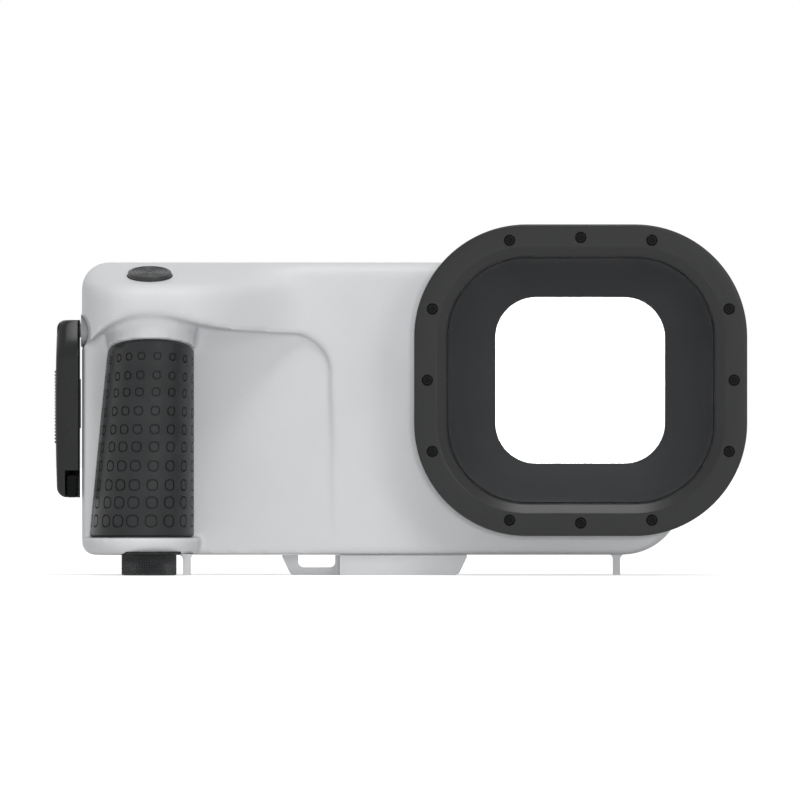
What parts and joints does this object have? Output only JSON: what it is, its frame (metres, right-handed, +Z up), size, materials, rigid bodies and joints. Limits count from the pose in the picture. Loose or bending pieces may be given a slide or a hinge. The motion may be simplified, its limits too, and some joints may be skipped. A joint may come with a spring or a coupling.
{
  "type": "underwater smartphone housing",
  "caption": "Dive housing for a smartphone: square wide-angle port, rubber grip, shutter button on a sloped shoulder, side latch lever, hinged clear rear door, vent cap, feet and tripod rail.",
  "frame": {"origin": "middle of the bounding box, on the ground that the feet stand on", "axes": "+X along the housing from the grip to the port, +Y from the port in front to the door behind, +Z up"},
  "size_m": [0.2212, 0.071, 0.112],
  "materials": {
    "casing": "satin light grey moulded plastic",
    "port_black": "satin black moulded plastic",
    "black_plastic": "fine textured black plastic",
    "gloss_black": "polished black plastic",
    "inner_plastic": "plain dark grey plastic",
    "grip_rubber": "soft matt black rubber",
    "seal_rubber": "smooth black seal rubber",
    "port_glass": "clear optical glass",
    "clear_window": "clear polished plastic",
    "steel": "stainless steel",
    "black_screw": "black oxide steel",
    "brass": "plain machined brass",
    "circuit_board": "green solder mask",
    "cell_wrap": "blue shrink wrap"
  },
  "bodies": {
    "housing": {"front_shell": "casing", "port_frame": "port_black", "port_gasket": "seal_rubber", "glass_gasket": "seal_rubber", "port_glass": "port_glass", "port_screw_01": "black_screw", "port_screw_02": "black_screw", "port_screw_03": "black_screw", "port_screw_04": "black_screw", "port_screw_05": "black_screw", "port_screw_06": "black_screw", "port_screw_07": "black_screw", "port_screw_08": "black_screw", "port_screw_09": "black_screw", "port_screw_10": "black_screw", "port_screw_11": "black_screw", "port_screw_12": "black_screw", "grip_sleeve": "grip_rubber", "base_rail": "casing", "tripod_insert": "brass", "vent_collar": "black_plastic", "shutter_spring": "steel", "shutter_seal": "seal_rubber", "shutter_switch": "black_plastic", "latch_hub": "black_plastic", "latch_pivot_screw": "steel", "door_seal": "seal_rubber", "hinge_pin": "steel", "phone_tray": "inner_plastic", "jaw_spring": "steel", "control_board": "circuit_board", "battery_cell": "cell_wrap", "battery_holder": "inner_plastic"},
    "vent_ring": {"vent_seal": "seal_rubber"},
    "vent_cap": {"vent_cap": "black_plastic"},
    "shutter": {"shutter_button": "black_plastic", "shutter_clip": "steel"},
    "latch": {"latch_lever": "black_plastic", "latch_claw": "steel", "lock_spring": "steel"},
    "lock": {"lock_button": "gloss_black"},
    "door": {"door_frame": "casing", "rear_window": "clear_window", "catch_pin": "steel", "key_spring_1": "steel", "key_spring_2": "steel", "key_spring_3": "steel", "key_seal_1": "seal_rubber", "key_seal_2": "seal_rubber", "key_seal_3": "seal_rubber"},
    "key_1": {"key_cap_1": "black_plastic", "key_clip_1": "steel"},
    "key_2": {"key_cap_2": "black_plastic", "key_clip_2": "steel"},
    "key_3": {"key_cap_3": "black_plastic", "key_clip_3": "steel"},
    "jaw": {"phone_jaw": "inner_plastic"}
  },
  "joints": [
    {"name": "vent_slide", "type": "slide", "parent": "housing", "child": "vent_ring", "axis": [0, 0, -1], "range_m": [0, 0.0024]},
    {"name": "vent_turn", "type": "hinge", "parent": "vent_ring", "child": "vent_cap", "pos_m": [-0.0802, -0.0235, 0.003], "axis": [0, 0, -1], "range_deg": [0, 1081]},
    {"name": "shutter_press", "type": "slide", "parent": "housing", "child": "shutter", "axis": [0, 0.2756, -0.9613], "range_m": [0, 0.0012], "stiffness_N_per_m": 600, "springref_m": -0.001, "deforming": ["shutter_spring"]},
    {"name": "latch_turn", "type": "hinge", "parent": "housing", "child": "latch", "pos_m": [-0.106, -0.0023, 0.0782], "axis": [-1, 0, 0], "range_deg": [0, 100]},
    {"name": "lock_slide", "type": "slide", "parent": "latch", "child": "lock", "axis": [0, 0, 1], "range_m": [0, 0.0012], "stiffness_N_per_m": 300, "springref_m": -0.001, "deforming": ["lock_spring"]},
    {"name": "door_swing", "type": "hinge", "parent": "housing", "child": "door", "pos_m": [0.0945, 0.0205, 0.053], "axis": [0, 0, -1], "range_deg": [0, 110]},
    {"name": "key_press_1", "type": "slide", "parent": "door", "child": "key_1", "axis": [0, -1, 0], "range_m": [0, 0.0012], "stiffness_N_per_m": 400, "springref_m": -0.001, "deforming": ["key_spring_1"]},
    {"name": "key_press_2", "type": "slide", "parent": "door", "child": "key_2", "axis": [0, -1, 0], "range_m": [0, 0.0012], "stiffness_N_per_m": 400, "springref_m": -0.001, "deforming": ["key_spring_2"]},
    {"name": "key_press_3", "type": "slide", "parent": "door", "child": "key_3", "axis": [0, -1, 0], "range_m": [0, 0.0012], "stiffness_N_per_m": 400, "springref_m": -0.001, "deforming": ["key_spring_3"]},
    {"name": "jaw_slide", "type": "slide", "parent": "housing", "child": "jaw", "axis": [0, 0, 1], "range_m": [0, 0.0105], "stiffness_N_per_m": 150, "springref_m": -0.003, "deforming": ["jaw_spring"]}
  ],
  "couplings": [
    {"joint": "vent_turn", "follows": "vent_slide", "rad_per_m": 7854}
  ]
}
